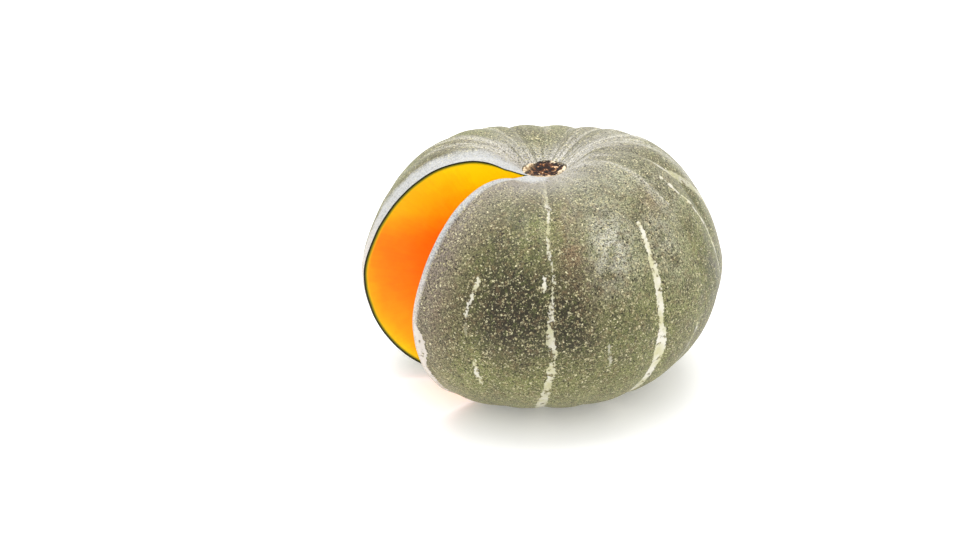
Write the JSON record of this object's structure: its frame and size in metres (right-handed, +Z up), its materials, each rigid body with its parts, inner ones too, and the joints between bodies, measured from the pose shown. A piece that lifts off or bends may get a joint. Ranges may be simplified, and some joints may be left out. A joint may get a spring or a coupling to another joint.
{
  "type": "pumpkin",
  "caption": "Squat grey-green ribbed winter pumpkin, standing on its blossom end, with a wedge cut out down to the seed hollow.",
  "frame": {"origin": "on the resting plane, under the axis that runs from the blossom button to the stem scar", "axes": "+Z up along the axis from blossom end to stem, -X through the middle of the cut-out wedge, +Y completes the right-handed frame"},
  "size_m": [0.2185, 0.2161, 0.1486],
  "materials": {
    "skin": "hard squash skin, grey-green with pale speckles and ragged cream stripes, soft waxy sheen",
    "flesh": "cut squash flesh, orange, yellower towards the skin, moist",
    "cork": "dry corky scar, dark and pitted with a crumbly cream rim",
    "pulp": "wet stringy pulp, deep orange",
    "seed": "smooth damp seed coat, cream"
  },
  "bodies": {
    "root": {"fruit": "skin", "stem_scar": "cork", "seed_pulp": "pulp"}
  },
  "joints": []
}
